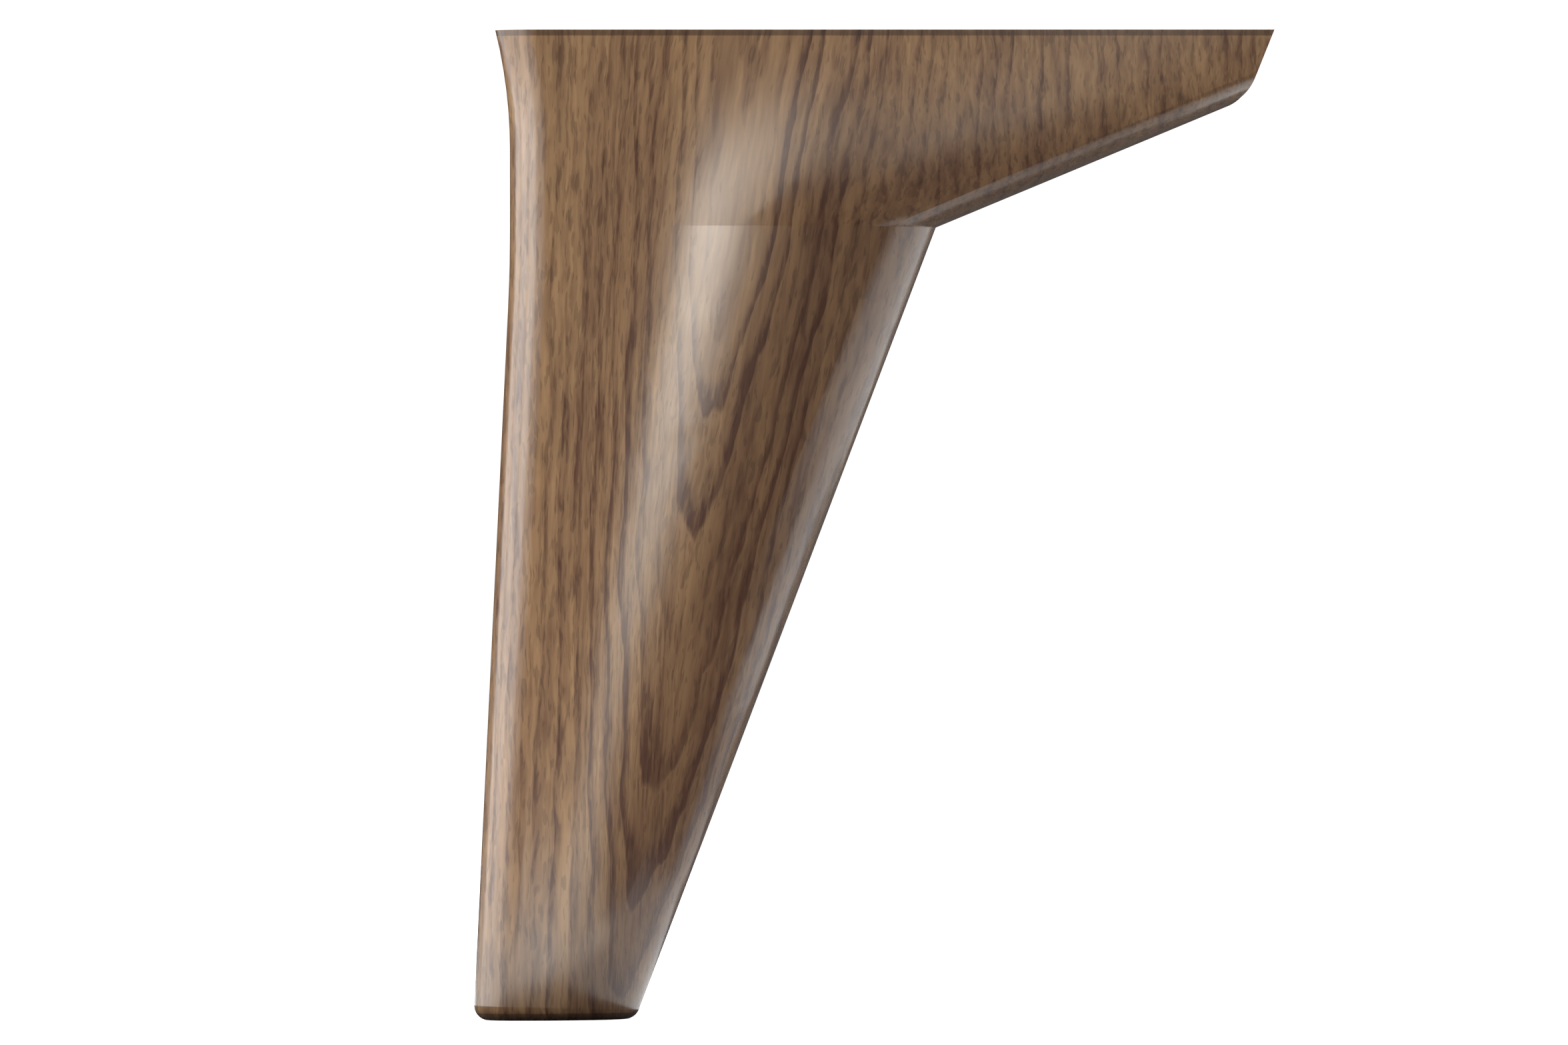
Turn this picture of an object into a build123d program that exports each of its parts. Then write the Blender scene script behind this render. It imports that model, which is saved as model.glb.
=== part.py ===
from build123d import *
import os
from math import asin, atan, atan2, cos, degrees, radians, sin, tan

os.makedirs("parts", exist_ok=True)

# Solid walnut furniture leg, in millimetres
# The origin is the middle of the flat top face, which goes against the furniture. +Z is up, the wing
# runs towards +X, and the leg is the same on both sides of the plane Y = 0.

# Height of the leg, and the top face that meets the furniture
leg_height = 150.0
top_length = 117.8
top_depth = 50.0

# The neck, where the wing's underside meets the column
neck_drop = 29.6
neck_width = 64.6
neck_inset = 2.2

# The foot of the tapered column
foot_width = 24.5
foot_depth = 36.0
foot_overhang = 5.6

# The soft ridge where each side of the column turns back, as a share of the width from the outer end, and
# how far before the ridge the side starts to turn. On the wing it starts further out and fades into the flat
neck_ridge_share = 0.56
foot_ridge_share = 0.478
neck_ridge_reach = 17.0
foot_ridge_reach = 5.0
top_ridge_inset = 29.0
top_ridge_width = 16.0

# The inner end of the column: a narrow flat between two round corners, which runs on under the wing
neck_nose_radius = 13.0
foot_nose_radius = 16.0
nose_flat = 3.0
wing_corner_radius = 7.5

# The wing's end leans outwards over a round corner
tip_drop = 9.9
tip_lean = 21.6
tip_radius = 6.3

# The outer end flares out under the top face, is upright below that, and then leans with the column
flare_height = 18.0
upright_drop = 36.0
upright_blend = 6.0

# Rounded and broken edges
outer_edge_radius = 6.3
foot_rim_radius = 2.2
top_rim_break = 0.7

# Blind pilot holes in the top face, for screws that come down through the furniture
hole_radius = 1.75
hole_depth = 12.0
hole_spacing_x = 62.0
hole_spacing_y = 24.0
drill_point = 118.0

# How far the waste that is cut away reaches past the leg
spare = 12.0

# Places along the leg
outer_top = -top_length / 2
outer_neck = outer_top + neck_inset
outer_foot = outer_neck - foot_overhang
inner_neck = outer_neck + neck_width
inner_foot = outer_foot + foot_width
neck_ridge = outer_neck + neck_width * neck_ridge_share
foot_ridge = outer_foot + foot_width * foot_ridge_share
tip_top = top_length / 2
tip_corner = tip_top - tip_drop * tan(radians(tip_lean))
underside_slope = (neck_drop - tip_drop) / (tip_corner - inner_neck)


def half_depth(z):
    """Half the distance between the front and back faces at a height: they taper evenly down to the floor."""
    return (top_depth + (top_depth - foot_depth) * z / leg_height) / 2


def heading(turn):
    """The way a front face runs that has turned back by so many degrees."""
    return Vector(cos(radians(turn)), sin(radians(turn)), 0)


def outward(turn):
    """The way such a face looks."""
    return Vector(sin(radians(turn)), -cos(radians(turn)), 0)


def closed_section(edges):
    """A level face between a run of front edges, the same run mirrored to the back, and the two ends."""
    mirrored = [edge.mirror(Plane.XZ) for edge in edges]
    first = edges[0] @ 0
    last = edges[-1] @ 1
    inner_end = Line(last, (last.X, -last.Y, last.Z))
    outer_end = Line((first.X, -first.Y, first.Z), first)
    return Face(Wire([*edges, inner_end, *mirrored, outer_end]))


def column_section(z, outer, inner, ridge, ridge_reach, nose_radius):
    """The column at a height: each side turns back over a soft ridge, towards a narrow round nose."""
    half = half_depth(z)
    nose_centre = Vector(inner - nose_radius, -nose_flat / 2, z)
    run = nose_centre.X - ridge
    fall = half - nose_flat / 2
    turn = degrees(atan2(fall, run) - asin(nose_radius / (run**2 + fall**2) ** 0.5))
    ridge_corner = Vector(ridge, -half, z)
    ridge_start = ridge_corner - heading(0) * ridge_reach
    nose_start = nose_centre + outward(turn) * nose_radius
    nose_end = nose_centre + outward(90) * nose_radius
    return closed_section(
        [
            Line((outer - spare, -half, z), ridge_start),
            Bezier(ridge_start, ridge_corner, nose_start),
            TangentArc(nose_start, nose_end, tangent=heading(turn)),
        ]
    )


def top_section():
    """The wing at the top face: a plain rectangle with two round corners, which runs on past the wing's end.

    The points of the curve that meets the ridge lie on one straight line, and only their spacing counts: close
    together they keep the ridge narrow, and the long last step lets it fade into the flat of the wing.
    """
    half = half_depth(0)
    end = inner_neck + neck_drop / underside_slope
    ridge_start = Vector(outer_top + top_ridge_inset, -half, 0)
    ridge_points = [ridge_start + heading(0) * top_ridge_width * share for share in (0, 0.25, 0.5, 1)]
    corner_start = Vector(end - wing_corner_radius, -half, 0)
    corner_end = Vector(end, wing_corner_radius - half, 0)
    return closed_section(
        [
            Line((outer_neck - spare, -half, 0), ridge_start),
            Bezier(*ridge_points, corner_start),
            TangentArc(corner_start, corner_end, tangent=heading(0)),
        ]
    )


def waste_beyond(profile):
    """What an outline drawn on the plane Y = 0 cuts away, all through the leg's depth."""
    return extrude(Face(Wire(profile)), amount=top_depth, both=True, dir=(0, 1, 0))


# The column and the wing share the neck's section, and meet there in a crease
foot = column_section(
    -leg_height, outer_foot, inner_foot, foot_ridge, foot_ridge_reach, foot_nose_radius
)
neck = column_section(
    -neck_drop, outer_neck, inner_neck, neck_ridge, neck_ridge_reach, neck_nose_radius
)
column = loft([foot, neck], ruled=True)
wing = loft([neck, top_section()], ruled=True)
leg = column + wing

# The outer end: leaning with the column, upright at the neck, flaring out to the top face
flare_start = Vector(outer_neck, 0, -flare_height)
lean_corner = Vector(outer_neck, 0, -upright_drop)
lean_way = Vector(foot_overhang, 0, leg_height - upright_drop).normalized()
lean_start = Vector(outer_foot, 0, -leg_height)
lean_end = lean_corner - lean_way * upright_blend
upright_start = lean_corner + Vector(0, 0, upright_blend)
flare_end = Vector(outer_top, 0, 0)
waste_top = flare_end - Vector(2 * spare, 0, 0)
waste_foot = lean_start - Vector(2 * spare, 0, 0)
leg -= waste_beyond(
    [
        Line(lean_start, lean_end),
        TangentArc(lean_end, upright_start, tangent=lean_way),
        Line(upright_start, flare_start),
        TangentArc(flare_start, flare_end, tangent=(0, 0, 1)),
        Line(flare_end, waste_top),
        Line(waste_top, waste_foot),
        Line(waste_foot, lean_start),
    ]
)

# The wing's end: leaning outwards, with a round corner that runs into the underside
underside_way = Vector(1, 0, underside_slope).normalized()
end_way = Vector(sin(radians(tip_lean)), 0, cos(radians(tip_lean)))
tip_turn = radians(90 - tip_lean) - atan(underside_slope)
tip_reach = tip_radius * tan(tip_turn / 2)
tip_point = Vector(tip_corner, 0, -tip_drop)
round_start = tip_point - underside_way * tip_reach
round_end = tip_point + end_way * tip_reach
end_over = tip_point + end_way * (tip_drop + spare)
end_under = tip_point + Vector(2 * spare, 0, -spare)
leg -= waste_beyond(
    [
        TangentArc(round_start, round_end, tangent=underside_way),
        Line(round_end, end_over),
        Line(end_over, end_under),
        Line(end_under, round_start),
    ]
)

# The two long edges of the outer end are rounded
outer_edges = [
    edge
    for edge in leg.edges()
    if edge.bounding_box().max.X < outer_neck + spare / 2 and edge.bounding_box().size.Z > spare / 4
]
leg = fillet(outer_edges, outer_edge_radius)

# The rim of the foot is rounded all round
foot_face = leg.faces().sort_by(Axis.Z)[0]
leg = fillet(foot_face.edges(), foot_rim_radius)

# The rim of the top face is broken all round
rim_length = top_length - 2 * top_rim_break
rim_depth = top_depth - 2 * top_rim_break
round_outline = RectangleRounded(rim_length, rim_depth, outer_edge_radius - top_rim_break)
square_outline = Pos(rim_length / 4, 0) * Rectangle(rim_length / 2, rim_depth)
inside_rim = extrude(round_outline + square_outline, amount=spare, dir=(0, 0, -1), taper=-45)
rim_slab = Pos(0, 0, -spare / 2) * Box(2 * top_length, 2 * top_depth, spare)
leg -= rim_slab - inside_rim

# Blind pilot holes in the top face
point_height = hole_radius / tan(radians(drill_point / 2))
pilot_hole = Pos(0, 0, -hole_depth / 2) * Cylinder(hole_radius, hole_depth)
pilot_hole += Pos(0, 0, -hole_depth - point_height / 2) * Cone(0, hole_radius, point_height)
leg -= GridLocations(hole_spacing_x, hole_spacing_y, 2, 2) * pilot_hole

export_step(leg, "parts/leg.step")
print("volume", round(leg.volume), "mm3, solids", len(leg.solids()), "valid", leg.is_valid)
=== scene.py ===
# %% [markdown]
# # A walnut furniture leg
# The real thing is one piece of walnut under a clear, half-gloss lacquer: a tapered column with a soft
# ridge down each side, and a wing at its top that runs inwards under the furniture. Its shape comes from
# the engineering model, which this lesson loads first. What is left to make is what the eye sees: the
# camera's place, the studio around the leg, and above all the wood.

# %% Load the engineering model
from math import cos, pi, radians, sin

import bmesh
import bpy
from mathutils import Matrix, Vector


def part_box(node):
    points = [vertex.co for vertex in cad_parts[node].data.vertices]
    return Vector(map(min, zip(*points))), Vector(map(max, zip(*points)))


MILLIMETRES = 1000.0

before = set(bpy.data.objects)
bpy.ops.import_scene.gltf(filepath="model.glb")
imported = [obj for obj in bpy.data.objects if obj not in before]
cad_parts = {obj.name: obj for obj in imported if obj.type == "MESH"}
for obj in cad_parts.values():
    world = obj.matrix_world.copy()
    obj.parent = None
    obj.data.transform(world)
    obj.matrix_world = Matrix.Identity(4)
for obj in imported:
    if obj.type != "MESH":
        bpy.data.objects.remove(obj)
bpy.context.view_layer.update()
leg_low, leg_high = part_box("leg")
print("leg in millimetres:", [round(MILLIMETRES * side) for side in leg_high - leg_low])

# %% [markdown]
# ## The camera
# The leg was photographed square to its side from far away, so its verticals stay upright and its foot and
# its top show no surface of their own. A long lens gives the same view. The picture shows a stretch of
# 238.6 mm of the leg's plane, and the leg stands left of its middle.

# %% Camera
SENSOR_WIDTH = 0.036
LENS = 0.5
VIEW_WIDTH = 0.23864
VIEW_CENTRE = Vector((-0.0152, 0.0, -0.0745))

camera_data = bpy.data.cameras.new("camera")
camera_data.sensor_width = MILLIMETRES * SENSOR_WIDTH
camera_data.lens = MILLIMETRES * LENS
camera = bpy.data.objects.new("camera", camera_data)
camera_distance = VIEW_WIDTH * LENS / SENSOR_WIDTH
camera.location = VIEW_CENTRE + Vector((0, -camera_distance, 0))
camera.rotation_euler = (radians(90), 0, 0)
bpy.context.scene.collection.objects.link(camera)
bpy.context.scene.camera = camera
print("camera stands", round(camera_distance, 3), "m away")

# %% [markdown]
# ## Nodes without repetition
# Every material below is a small network of nodes. A few helpers keep that readable: one adds a node, sets
# its options and feeds its sockets, and the others use it for a sum and for a number's share between two
# limits. The last turns a colour as a screen gives it into the linear one that a shader takes.


# %% Node helpers
def node(tree, kind, feeds=None, **options):
    """Adds a node. Feeds are values, or the outputs of other nodes, by the socket's name or number."""
    made = tree.nodes.new("ShaderNode" + kind)
    for name, value in options.items():
        setattr(made, name, value)
    for socket, source in (feeds or {}).items():
        if isinstance(source, bpy.types.NodeSocket):
            tree.links.new(source, made.inputs[socket])
        else:
            made.inputs[socket].default_value = source
    return made


def sum_of(tree, operation, *terms):
    """The output of a Math node."""
    return node(tree, "Math", dict(enumerate(terms)), operation=operation).outputs[0]


def share_between(tree, value, low, high, to_low=0.0, to_high=1.0, smooth=True):
    """Where a value lies between two others, as a number from to_low to to_high."""
    feeds = {"Value": value, "From Min": low, "From Max": high, "To Min": to_low, "To Max": to_high}
    kind = "SMOOTHSTEP" if smooth else "LINEAR"
    return node(tree, "MapRange", feeds, interpolation_type=kind).outputs["Result"]


# %% A screen's colour as a linear one
SCREEN_WHITE = 255
STRAIGHT_BELOW = 0.04045
STRAIGHT_SLOPE = 12.92
CURVE_SHIFT = 0.055
CURVE_POWER = 2.4


def linear(red, green, blue):
    """The linear colour of one that is given as on a screen, from 0 to 255."""
    colour = []
    for channel in (red, green, blue):
        share = channel / SCREEN_WHITE
        if share < STRAIGHT_BELOW:
            colour.append(share / STRAIGHT_SLOPE)
        else:
            colour.append(((share + CURVE_SHIFT) / (1 + CURVE_SHIFT)) ** CURVE_POWER)
    return (*colour, 1.0)


print("a screen's middle grey is", round(linear(128, 128, 128)[0], 3), "to a shader")

# %% [markdown]
# ## The studio
# A plain pale floor and plain white surroundings. To the camera both are white, so that the leg stands
# clear as in a catalogue picture, with only a soft shadow under its foot. To the light that bounces about
# they are dark: a white floor would shine back into the leg's underside, which is deep brown on the real
# thing.

# %% Floor
FLOOR_RADIUS = 30.0
FLOOR_SIDES = 64

shape = bmesh.new()
bmesh.ops.create_circle(shape, cap_ends=True, segments=FLOOR_SIDES, radius=FLOOR_RADIUS)
bmesh.ops.translate(shape, verts=shape.verts, vec=(0, 0, leg_low.z))
floor_mesh = bpy.data.meshes.new("floor")
shape.to_mesh(floor_mesh)
shape.free()
floor = bpy.data.objects.new("floor", floor_mesh)
bpy.context.scene.collection.objects.link(floor)
print("floor lies at", round(MILLIMETRES * leg_low.z), "mm")

# %% The floor's paint
FLOOR_WHITE = 0.9
FLOOR_BOUNCE = 0.08
GLOW_AT_LEG = 0.80
GLOW_FAR_OFF = 1.0
GLOW_NEAR = 0.10
GLOW_FAR = 0.60

floor_paint = bpy.data.materials.new("studio floor")
floor_paint.use_nodes = True
tree = floor_paint.node_tree
tree.nodes.clear()
place = node(tree, "TexCoord").outputs["Object"]
flat_place = node(tree, "VectorMath", {0: place, 1: (1, 1, 0)}, operation="MULTIPLY").outputs[0]
away = node(tree, "VectorMath", {0: flat_place}, operation="LENGTH").outputs["Value"]
glow = share_between(tree, away, GLOW_NEAR, GLOW_FAR, GLOW_AT_LEG, GLOW_FAR_OFF)
white = node(tree, "BsdfDiffuse", {"Color": (FLOOR_WHITE,) * 3 + (1,)})
glowing = node(tree, "Emission", {"Strength": glow})
lit = node(tree, "AddShader", {0: white.outputs[0], 1: glowing.outputs[0]})
dull = node(tree, "BsdfDiffuse", {"Color": (FLOOR_BOUNCE,) * 3 + (1,)})
seen = node(tree, "LightPath").outputs["Is Camera Ray"]
floor_shader = node(tree, "MixShader", {0: seen, 1: dull.outputs[0], 2: lit.outputs[0]})
node(tree, "OutputMaterial", {"Surface": floor_shader.outputs[0]})
floor_mesh.materials.append(floor_paint)
print(floor_paint.name, "has", len(tree.nodes), "nodes")

# %% Surroundings
SKY_WHITE = 1.1
SKY_LIGHT = 0.03

world = bpy.data.worlds.new("surroundings")
world.use_nodes = True
bpy.context.scene.world = world
tree = world.node_tree
tree.nodes.clear()
seen = node(tree, "LightPath").outputs["Is Camera Ray"]
strength = share_between(tree, seen, 0.0, 1.0, SKY_LIGHT, SKY_WHITE, smooth=False)
sky = node(tree, "Background", {"Color": (1, 1, 1, 1), "Strength": strength})
node(tree, "OutputWorld", {"Surface": sky.outputs[0]})
bpy.context.scene.view_settings.view_transform = "Standard"
print(world.name, "look", SKY_WHITE, "bright and give a light of", SKY_LIGHT)

# %% [markdown]
# ## The lights
# A lacquered leg shows its shape by what its sides mirror. Upright white screens to the left make the broad
# pale band down the outer edge, and others to the right and behind lift the rounded inner edge out of the
# shadow. A panel high in front and a wide weak one overhead show the wood's own colour between the
# highlights. One big round lamp could light the leg as brightly, but it would flatten all this, so the
# light is built from such separate panels. The camera sees none of them. A panel shines into half the room,
# so its power is its brightness times pi times its area.


# %% A panel of light
SCREEN_TINT = (0.97, 0.99, 1.0)


def panel_light(name, width, tall, brightness, place, turn, tint=SCREEN_TINT):
    """A flat panel of light with a given brightness, which the camera itself doesn't see."""
    data = bpy.data.lights.new(name, "AREA")
    data.shape = "RECTANGLE"
    data.size = width
    data.size_y = tall
    data.color = tint
    data.energy = brightness * pi * width * tall
    panel = bpy.data.objects.new(name, data)
    panel.location = place
    panel.rotation_euler = turn
    panel.visible_camera = False
    bpy.context.scene.collection.objects.link(panel)
    print(name, "gives", round(data.energy, 2), "W")


def bearing_way(bearing):
    """A level direction, in degrees from the camera's side towards its right."""
    return Vector((sin(radians(bearing)), -cos(radians(bearing)), 0))


def standing_light(name, bearing, distance, height, width, tall, brightness, tint=SCREEN_TINT):
    """A panel that stands around the leg and faces the middle of the view."""
    place = VIEW_CENTRE + distance * bearing_way(bearing) + Vector((0, 0, height))
    turn = (VIEW_CENTRE - place).to_track_quat("-Z", "Y").to_euler()
    panel_light(name, width, tall, brightness, place, turn, tint)


# %% Lights around the leg
SCREEN_DISTANCE = 1.0
SCREEN_HEIGHT = 0.25
SCREEN_WIDTH = 0.42
SCREEN_TALL = 0.9
SCREENS = {-32: 1.5, -55: 4.4, -80: 4.4, -105: 3.0, 85: 1.9, 110: 4.6, 135: 4.6}

for bearing, brightness in SCREENS.items():
    name = f"screen at {bearing} degrees"
    standing_light(name, bearing, SCREEN_DISTANCE, SCREEN_HEIGHT, SCREEN_WIDTH, SCREEN_TALL, brightness)
standing_light("overhead", bearing=0, distance=0.0, height=2.5, width=5.0, tall=5.0, brightness=0.25)
standing_light("behind", bearing=180, distance=1.5, height=0.6, width=1.5, tall=1.0, brightness=1.2)
standing_light("front high", bearing=-10, distance=1.2, height=0.95, width=0.8, tall=0.5, brightness=2.2)

# %% [markdown]
# ### Light from the floor
# The column gets thinner towards its foot, so its broad sides look a little down, and mirror the floor near
# the leg instead of the room. A floor that is bright all over would haze them. Panels that lie on the dark
# floor make it bright in just the places that a highlight needs, and it stays dark where the leg shows its
# deep brown.

# %% Light on the floor beside the leg
JUST_ABOVE = 0.0005
FLOOR_PANELS = {
    # name: left, right, front and back bounds in metres, and the brightness
    "left of the leg": (-0.35, -0.08, -0.15, 0.35, 2.6),
    "far left": (-1.2, -0.35, -0.8, 0.8, 1.5),
    "in front of the foot": (-0.08, -0.03, -0.20, -0.05, 2.8),
    "far in front": (-0.3, 0.1, -2.2, -0.60, 0.12),
    "beside the foot": (-0.0355, 0.02, -0.05, 0.07, 0.9),
    "under the wing": (0.055, 0.10, 0.02, 0.12, 0.4),
    "behind the foot": (0.02, 0.055, 0.02, 0.12, 0.6),
    "beyond the wing": (0.10, 0.22, 0.0, 0.18, 1.1),
    "far right": (0.22, 0.70, -0.16, 0.45, 1.25),
}

for name, (left, right, front, back, brightness) in FLOOR_PANELS.items():
    place = Vector(((left + right) / 2, (front + back) / 2, leg_low.z + JUST_ABOVE))
    panel_light(name, right - left, back - front, brightness, place, (pi, 0, 0))

# %% [markdown]
# ### The ridge's highlight
# The soft ridge looks forwards and a little down, so its long highlight is the mirror image of a narrow
# bright strip that runs away from the foot over the floor, at the ridge's own bearing. The strip is a
# little warmer than the screens. It has lengths of different brightness, because each shows at its own
# height on the ridge, and a small bright panel stands upright over it, for the ridge's top.

# %% The strip that makes the ridge's highlight
RIDGE_BEARING = 21.0
STRIP_TINT = (1.0, 0.95, 0.87)
STRIP_START = Vector((-0.05, 0, leg_low.z + JUST_ABOVE))
STRIPS = {
    # name: nearer and farther end and width in metres, and the brightness
    "strip near": (0.05, 0.20, 0.05, 1.9),
    "strip thin": (0.20, 0.30, 0.04, 0.8),
    "strip middle": (0.30, 0.42, 0.07, 1.4),
    "strip far": (0.42, 0.90, 0.17, 3.0),
    "strip end": (0.90, 1.60, 0.28, 2.4),
}

for name, (near, far, width, brightness) in STRIPS.items():
    place = STRIP_START + bearing_way(RIDGE_BEARING) * (near + far) / 2
    turn = (pi, 0, radians(RIDGE_BEARING))
    panel_light(name, width, far - near, brightness, place, turn, STRIP_TINT)
standing_light(
    "strip upright",
    bearing=RIDGE_BEARING,
    distance=0.9,
    height=0.03,
    width=0.18,
    tall=0.22,
    brightness=14.0,
    tint=STRIP_TINT,
)

# %% [markdown]
# ## How walnut grows
# A leg cut from a walnut board shows the tree's growth rings twice over: as narrow upright lines where the
# saw crossed them, and as nested arches where it ran along them. Painting that on the surface would need a
# seam at every edge. The rings are surfaces inside the wood, so the pattern is made the same way: as
# numbers that every point of the solid has, which the leg's faces only cut through. The front, the back and
# the ends then agree along every edge, as they do on the real leg. All lengths in the wood are in
# millimetres.


# %% A new group with its sockets
def new_group(name, inputs, outputs):
    """An empty shader node group: the group, its input sockets to read, and its output sockets to feed."""
    group = bpy.data.node_groups.new(name, "ShaderNodeTree")
    for label, kind, value in inputs:
        socket = group.interface.new_socket(label, in_out="INPUT", socket_type="NodeSocket" + kind)
        if value is not None:
            socket.default_value = value
    for label in outputs:
        group.interface.new_socket(label, in_out="OUTPUT", socket_type="NodeSocketFloat")
    start = group.nodes.new("NodeGroupInput")
    end = group.nodes.new("NodeGroupOutput")
    print("group", name, "gives", ", ".join(outputs))
    return group, start.outputs, end.inputs


def noise(tree, place, stretch, detail=2.0, roughness=0.5):
    """Smooth noise from 0 to 1 whose spots have a given size, in millimetres, along each axis."""
    finer = tuple(1 / size for size in stretch)
    scaled = node(tree, "VectorMath", {0: place, 1: finer}, operation="MULTIPLY").outputs[0]
    feeds = {"Vector": scaled, "Scale": 1.0, "Detail": detail, "Roughness": roughness}
    return node(tree, "TexNoise", feeds, noise_dimensions="3D").outputs["Fac"]


def wandering(tree, place, stretch, amount):
    """Noise around zero, scaled to an amount."""
    return sum_of(tree, "MULTIPLY_ADD", noise(tree, place, stretch), amount, -amount / 2)


# %% [markdown]
# ### Growth rings
# The number behind the rings is the distance from an arch line, which slants down just in front of the
# leg's front, less a share of the height. Its contours on the front are arches that point down, and they
# run out into lines on both sides of the column. Towards the wing's end the share fades to nothing, so
# there the lines stand upright. A little noise makes each ring wander, and each has its own random
# strength, because no two years were alike. Early in the year the wood grows pale and open, and its end is
# the thin dark line.

# %% Group: growth rings
RING_SPACING = 2.3
RING_WANDER = 1.0
ARCH_X = -23.0
ARCH_Y = -27.0
ARCH_BEND_Z = -35.0
ARCH_LEAN_LOW = 0.135
ARCH_LEAN_HIGH = 0.0975
ARCH_RISE_LOW = 0.105
ARCH_RISE_HIGH = 0.0675
ARCH_BLUNT = 3.2
DEPTH_SHARE = 0.35
UPRIGHT_FROM = (-8.0, 20.0)

ring_group, taken, given = new_group(
    "growth rings",
    [("Place", "Vector", None), ("Spacing", "Float", RING_SPACING), ("Wander", "Float", RING_WANDER)],
    ["Dark Line", "Early Wood", "Beside Arch"],
)
group_tree = ring_group
parts = node(group_tree, "SeparateXYZ", {0: taken["Place"]}).outputs
upright = share_between(group_tree, parts["X"], *UPRIGHT_FROM, 1.0, 0.0)
height = sum_of(group_tree, "MULTIPLY_ADD", parts["Z"], upright, -ARCH_BEND_Z)
below = sum_of(group_tree, "MINIMUM", height, 0.0)
above = sum_of(group_tree, "MAXIMUM", height, 0.0)


def bent_line(start, low_slope, high_slope):
    """A line over the height with one slope below the bend and another above it."""
    low_part = sum_of(group_tree, "MULTIPLY", below, low_slope)
    high_part = sum_of(group_tree, "MULTIPLY_ADD", above, high_slope, start)
    return sum_of(group_tree, "ADD", high_part, low_part)


beside = sum_of(group_tree, "SUBTRACT", parts["X"], bent_line(ARCH_X, ARCH_LEAN_LOW, ARCH_LEAN_HIGH))
behind = sum_of(group_tree, "MULTIPLY_ADD", parts["Y"], DEPTH_SHARE, -ARCH_Y * DEPTH_SHARE)
offset = node(group_tree, "CombineXYZ", {"X": beside, "Y": behind, "Z": ARCH_BLUNT}).outputs[0]
distance = node(group_tree, "VectorMath", {0: offset}, operation="LENGTH").outputs["Value"]
grown = sum_of(group_tree, "SUBTRACT", distance, bent_line(0.0, ARCH_RISE_LOW, ARCH_RISE_HIGH))

# %% Group: growth rings, the year's course
WIDE_SIZE = (8, 8, 30)
WIDE_AMOUNT = 3.6
CLOSE_SIZE = (2.2, 2.2, 12)
CLOSE_AMOUNT = 0.9
FAINTEST_YEAR = 0.3
DARKENS_FROM = 0.35
DARKEST_AT = 0.88
EARLY_WOOD_TO = 0.5

wide_wander = wandering(group_tree, taken["Place"], WIDE_SIZE, WIDE_AMOUNT)
close_wander = wandering(group_tree, taken["Place"], CLOSE_SIZE, CLOSE_AMOUNT)
wander = sum_of(group_tree, "ADD", wide_wander, close_wander)
grown = sum_of(group_tree, "MULTIPLY_ADD", wander, taken["Wander"], grown)
rings = sum_of(group_tree, "DIVIDE", grown, taken["Spacing"])
year = sum_of(group_tree, "FRACT", rings)
number = sum_of(group_tree, "FLOOR", rings)
strength = node(group_tree, "TexWhiteNoise", {"W": number}, noise_dimensions="1D").outputs["Value"]
strength = share_between(group_tree, strength, 0.0, 1.0, FAINTEST_YEAR, 1.0, smooth=False)
darkens = share_between(group_tree, year, DARKENS_FROM, DARKEST_AT)
ends = share_between(group_tree, year, DARKEST_AT, 1.0, 1.0, 0.0)
line = sum_of(group_tree, "MULTIPLY", darkens, ends)
group_tree.links.new(sum_of(group_tree, "MULTIPLY", line, strength), given["Dark Line"])
group_tree.links.new(share_between(group_tree, year, 0.0, EARLY_WOOD_TO, 1.0, 0.0), given["Early Wood"])
group_tree.links.new(beside, given["Beside Arch"])
print(group_tree.name, "has", len(group_tree.nodes), "nodes")

# %% [markdown]
# ### Fibres and pores
# Along the grain, walnut is made of fibres, which show as soft streaks, and of open pores, which the saw
# cut lengthwise into short dark dashes. Both are noise that is drawn out along the grain: broad bands, fine
# streaks, the broken dark dashes between them, and the pores themselves, which are the few places where a
# narrow noise rises above a limit. More crowding lowers that limit.

# %% Group: fibres and pores
SPECK_SIZE = (0.5, 0.9, 3.2)
DASH_SIZE = (0.8, 1.7, 5.5)
FINE_SIZE = (0.9, 2.0, 18)
BROAD_SIZE = (4.5, 7.0, 100)
PORE_LIMIT_SPARSE = 0.76
PORE_LIMIT_CROWDED = 0.52
PORE_EDGE = 0.08
DASH_EDGE = (0.42, 0.62)
USUAL_CROWDING = 0.5

fibre_group, taken, given = new_group(
    "fibres and pores",
    [("Along", "Vector", None), ("Crowding", "Float", USUAL_CROWDING)],
    ["Pores", "Dashes", "Fine Streaks", "Broad Bands"],
)
group_tree = fibre_group
along = taken["Along"]
crowding = taken["Crowding"]
speck = noise(group_tree, along, SPECK_SIZE, detail=1.0)
limit = share_between(group_tree, crowding, 0.0, 1.0, PORE_LIMIT_SPARSE, PORE_LIMIT_CROWDED, smooth=False)
pores = share_between(group_tree, sum_of(group_tree, "SUBTRACT", speck, limit), 0.0, PORE_EDGE)
dash = noise(group_tree, along, DASH_SIZE)
dashes = sum_of(group_tree, "MULTIPLY", share_between(group_tree, dash, *DASH_EDGE), crowding)
fine = noise(group_tree, along, FINE_SIZE, detail=3.0, roughness=0.55)
broad = noise(group_tree, along, BROAD_SIZE)
for made, label in ((pores, "Pores"), (dashes, "Dashes"), (fine, "Fine Streaks"), (broad, "Broad Bands")):
    group_tree.links.new(made, given[label])
print(group_tree.name, "has", len(group_tree.nodes), "nodes")

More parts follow.
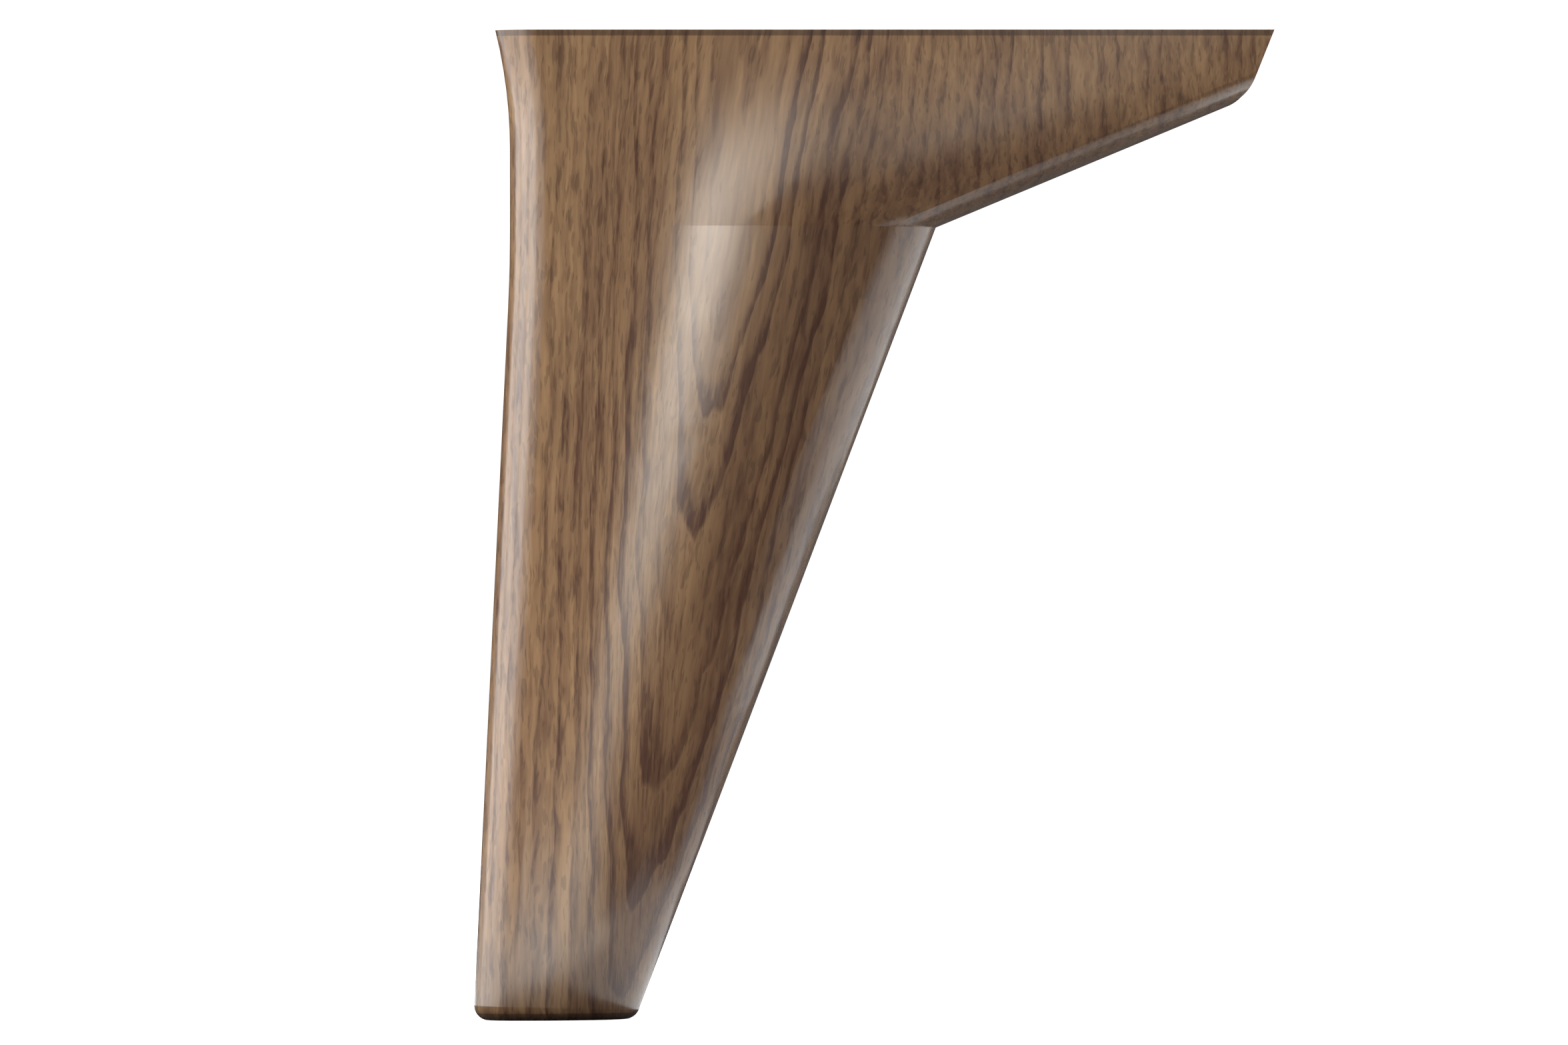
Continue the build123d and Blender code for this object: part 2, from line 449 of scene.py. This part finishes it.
# %% [markdown]
# ### The way the grain runs
# The fibres stand upright at the outer end and in the wing, and lean to the right in the middle, beside
# the arches. So the place that the noise reads is pushed sideways by the lean, by a slow wave and by a
# small close wobble, before it goes into the groups. The leg's Object coordinates are in metres, so the
# material's first step turns them into millimetres.

# %% Walnut: the place along the grain
LEAN_EDGE = 0.03
LEAN_MIDDLE = 0.15
LEAN_RISE = (-48.0, -30.0)
LEAN_FALL = (-10.0, 14.0)
WAVE = 2.2
WAVE_SIZE = (26, 26, 70)
WOBBLE = 1.1
WOBBLE_SIZE = (3, 2.5, 7)

walnut = bpy.data.materials.new("walnut")
walnut.use_nodes = True
tree = walnut.node_tree
wood = tree.nodes["Principled BSDF"]
metres = node(tree, "TexCoord").outputs["Object"]
place = node(tree, "VectorMath", {0: metres, "Scale": MILLIMETRES}, operation="SCALE").outputs[0]
parts = node(tree, "SeparateXYZ", {0: place}).outputs
waved_x = sum_of(tree, "ADD", parts["X"], wandering(tree, place, WAVE_SIZE, WAVE))
rise = share_between(tree, parts["X"], *LEAN_RISE, LEAN_EDGE, LEAN_MIDDLE)
fall = share_between(tree, parts["X"], *LEAN_FALL, 1.0, 0.0)
lean = sum_of(tree, "MULTIPLY", rise, fall)
pushed_x = sum_of(tree, "SUBTRACT", waved_x, sum_of(tree, "MULTIPLY", lean, parts["Z"]))
pushed_x = sum_of(tree, "ADD", pushed_x, wandering(tree, place, WOBBLE_SIZE, WOBBLE))
waved = node(tree, "CombineXYZ", {"X": waved_x, "Y": parts["Y"], "Z": parts["Z"]}).outputs[0]
along = node(tree, "CombineXYZ", {"X": pushed_x, "Y": parts["Y"], "Z": parts["Z"]}).outputs[0]
print("walnut has", len(tree.nodes), "nodes so far")

# %% [markdown]
# ### Where the wood is open and where it is calm
# Now the groups are placed in the material, with this leg's own values. Pores crowd in the early wood and
# along the dark lines. High on the leg, close to the arch line, the real wood is calm and has hardly a
# pore, so there the crowding is turned down.

# %% Walnut: the groups in their places
CALM_RISE = (-62.0, -36.0)
CALM_SPREAD = (2.0, 12.0)
CALM_MOST = 0.75
OPEN_LATE = 0.65
OPEN_EARLY = 0.95


def placed(group, feeds):
    """A group's node in the walnut material, with its outputs by name."""
    return node(tree, "Group", feeds, node_tree=group).outputs


growth = placed(ring_group, {"Place": waved, "Spacing": RING_SPACING, "Wander": RING_WANDER})
off_arch = sum_of(tree, "ABSOLUTE", growth["Beside Arch"])
calm_height = share_between(tree, parts["Z"], *CALM_RISE)
calm = sum_of(tree, "MULTIPLY", calm_height, share_between(tree, off_arch, *CALM_SPREAD, CALM_MOST, 0.0))
open_wood = share_between(tree, growth["Early Wood"], 0.0, 1.0, OPEN_LATE, OPEN_EARLY)
crowding = sum_of(tree, "MULTIPLY", open_wood, sum_of(tree, "SUBTRACT", 1.0, calm))
crowding = sum_of(tree, "ADD", crowding, growth["Dark Line"])
fibres = placed(fibre_group, {"Along": along, "Crowding": crowding})
print("walnut has", len(tree.nodes), "nodes so far")

# %% [markdown]
# ### The wood's colour
# One number, the tone, says how dark each point is, from the pale early wood at 0 to the dark lines at 1.
# The streaks, dashes and rings each add their part to it, and then it mixes two browns. The rings are
# darkest close to the arches, and faint high on the leg to the left of them.

# %% Walnut: tone
MEAN_TONE = 0.30
RING_TONE_FAR = 0.28
RING_TONE_NEAR = 0.65
RING_FADE = (8.0, 24.0)
FAINT_BESIDE = (1.0, 6.0)
FAINT_SHARE = 0.5
DASH_TONE = 0.23
FINE_TONE = 1.1
BROAD_TONE = 0.9

ring_tone = share_between(tree, off_arch, *RING_FADE, RING_TONE_NEAR, RING_TONE_FAR)
left_of_arch = share_between(tree, growth["Beside Arch"], *FAINT_BESIDE, 1.0, 0.0)
faint = sum_of(tree, "MULTIPLY", calm_height, left_of_arch)
ring_tone = sum_of(tree, "MULTIPLY", ring_tone, share_between(tree, faint, 0.0, 1.0, 1.0, FAINT_SHARE))
tone = sum_of(tree, "MULTIPLY_ADD", growth["Dark Line"], ring_tone, MEAN_TONE)
tone = sum_of(tree, "MULTIPLY_ADD", fibres["Dashes"], DASH_TONE, tone)
for label, amount in (("Fine Streaks", FINE_TONE), ("Broad Bands", BROAD_TONE)):
    centred = sum_of(tree, "MULTIPLY_ADD", fibres[label], amount, -amount / 2)
    tone = sum_of(tree, "ADD", tone, centred)
tone = share_between(tree, tone, 0.0, 1.0, smooth=False)
print("walnut has", len(tree.nodes), "nodes so far")

# %% Walnut: two browns
LIGHT_WOOD = linear(141, 110, 78)
DARK_WOOD = linear(74, 46, 32)
MIX_FIRST = 6
MIX_SECOND = 7
MIX_COLOUR = 2


def mixed(factor, first, second):
    """One colour over another, by a factor from 0 to 1."""
    feeds = {0: factor, MIX_FIRST: first, MIX_SECOND: second}
    return node(tree, "Mix", feeds, data_type="RGBA").outputs[MIX_COLOUR]


colour = mixed(tone, LIGHT_WOOD, DARK_WOOD)
print("walnut has", len(tree.nodes), "nodes so far")

# %% [markdown]
# ### Heart wood with painted shade, pores and dark rims
# The tree's heart wood is redder and darker. On this leg it lies to the right of a line that slants down
# the column's inner side, and fades out towards the top, so it is mixed in by a mask with soft edges. That
# inner side and the wing's lower part turn away from the light, and the same darker mix also paints their
# shade into the colour: part of the darkness there is heart wood, part is painted shade. The pores go over
# it as dark specks. The rims at the top and at the foot are darkened in two thin bands.

# %% Walnut: heart wood with painted shade, and pores
HEART_AND_SHADE_WOOD = linear(60, 36, 26)
HEART_AND_SHADE_SHARE = 0.46
HEART_AND_SHADE_X = -6.6
HEART_AND_SHADE_SLOPE = 0.274
HEART_AND_SHADE_SOFT = 4.5
HEART_AND_SHADE_TOP = (-20.0, -2.0)
PORE_COLOUR = linear(42, 26, 19)
PORE_TONE = 0.3

# This mask is heart wood and painted shade: it darkens the inner side and the wing's lower part, which turn
# from the light.
heart_and_shade_edge = sum_of(tree, "MULTIPLY_ADD", parts["Z"], HEART_AND_SHADE_SLOPE, HEART_AND_SHADE_X)
heart_and_shade_side = share_between(tree, sum_of(tree, "SUBTRACT", parts["X"], heart_and_shade_edge), -HEART_AND_SHADE_SOFT, HEART_AND_SHADE_SOFT)
heart_and_shade = sum_of(tree, "MULTIPLY", heart_and_shade_side, share_between(tree, parts["Z"], *HEART_AND_SHADE_TOP, 1.0, 0.0))
colour = mixed(sum_of(tree, "MULTIPLY", heart_and_shade, HEART_AND_SHADE_SHARE), colour, HEART_AND_SHADE_WOOD)
colour = mixed(sum_of(tree, "MULTIPLY", fibres["Pores"], PORE_TONE), colour, PORE_COLOUR)
print("walnut has", len(tree.nodes), "nodes so far")

# %% Walnut: dark rims
RIM_DARKENING = 0.6
TOP_RIM_Z = -0.5
TOP_RIM_EDGE = (0.35, 0.47)
FOOT_RIM_Z = -149.4
FOOT_RIM_EDGE = (0.4, 0.58)


def rim_at(level, edge):
    """A thin level band around a height, which fades to nothing between two distances from it."""
    off_level = sum_of(tree, "ABSOLUTE", sum_of(tree, "ADD", parts["Z"], -level))
    return share_between(tree, off_level, *edge, 1.0, 0.0)


# Thin level bands at the top and at the foot are mixed towards the pores' dark brown.
rims = sum_of(tree, "MAXIMUM", rim_at(TOP_RIM_Z, TOP_RIM_EDGE), rim_at(FOOT_RIM_Z, FOOT_RIM_EDGE))
colour = mixed(sum_of(tree, "MULTIPLY", rims, RIM_DARKENING), colour, PORE_COLOUR)
tree.links.new(colour, wood.inputs["Base Color"])
print("walnut has", len(tree.nodes), "nodes so far")

# %% [markdown]
# ### The lacquer
# The finish is a clear coat over the wood, not a shinier wood. The coat has its own roughness, which sets
# how soft the highlights are, and the wood under it stays dull. The pores aren't quite filled, so they dip
# a little in the coat's surface: a bump is enough for dips of a tenth of a millimetre.

# %% Walnut: lacquer
LACQUER = {"Coat Weight": 1.0, "Coat IOR": 1.7, "Coat Roughness": 0.21, "Specular IOR Level": 0.05}
WOOD_DULLNESS = 0.45
PORE_DULLNESS = 0.65
DIP_STRENGTH = 0.2
DIP_DEPTH = 0.0001

for socket, value in LACQUER.items():
    wood.inputs[socket].default_value = value
dullness = share_between(tree, fibres["Pores"], 0.0, 1.0, WOOD_DULLNESS, PORE_DULLNESS, smooth=False)
tree.links.new(dullness, wood.inputs["Roughness"])
dip_feeds = {"Strength": DIP_STRENGTH, "Distance": DIP_DEPTH, "Height": fibres["Pores"]}
tree.links.new(node(tree, "Bump", dip_feeds, invert=True).outputs[0], wood.inputs["Normal"])

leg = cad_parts["leg"]
leg.data.materials.clear()
leg.data.materials.append(walnut)
print("walnut has", len(tree.nodes), "nodes, on", leg.name)
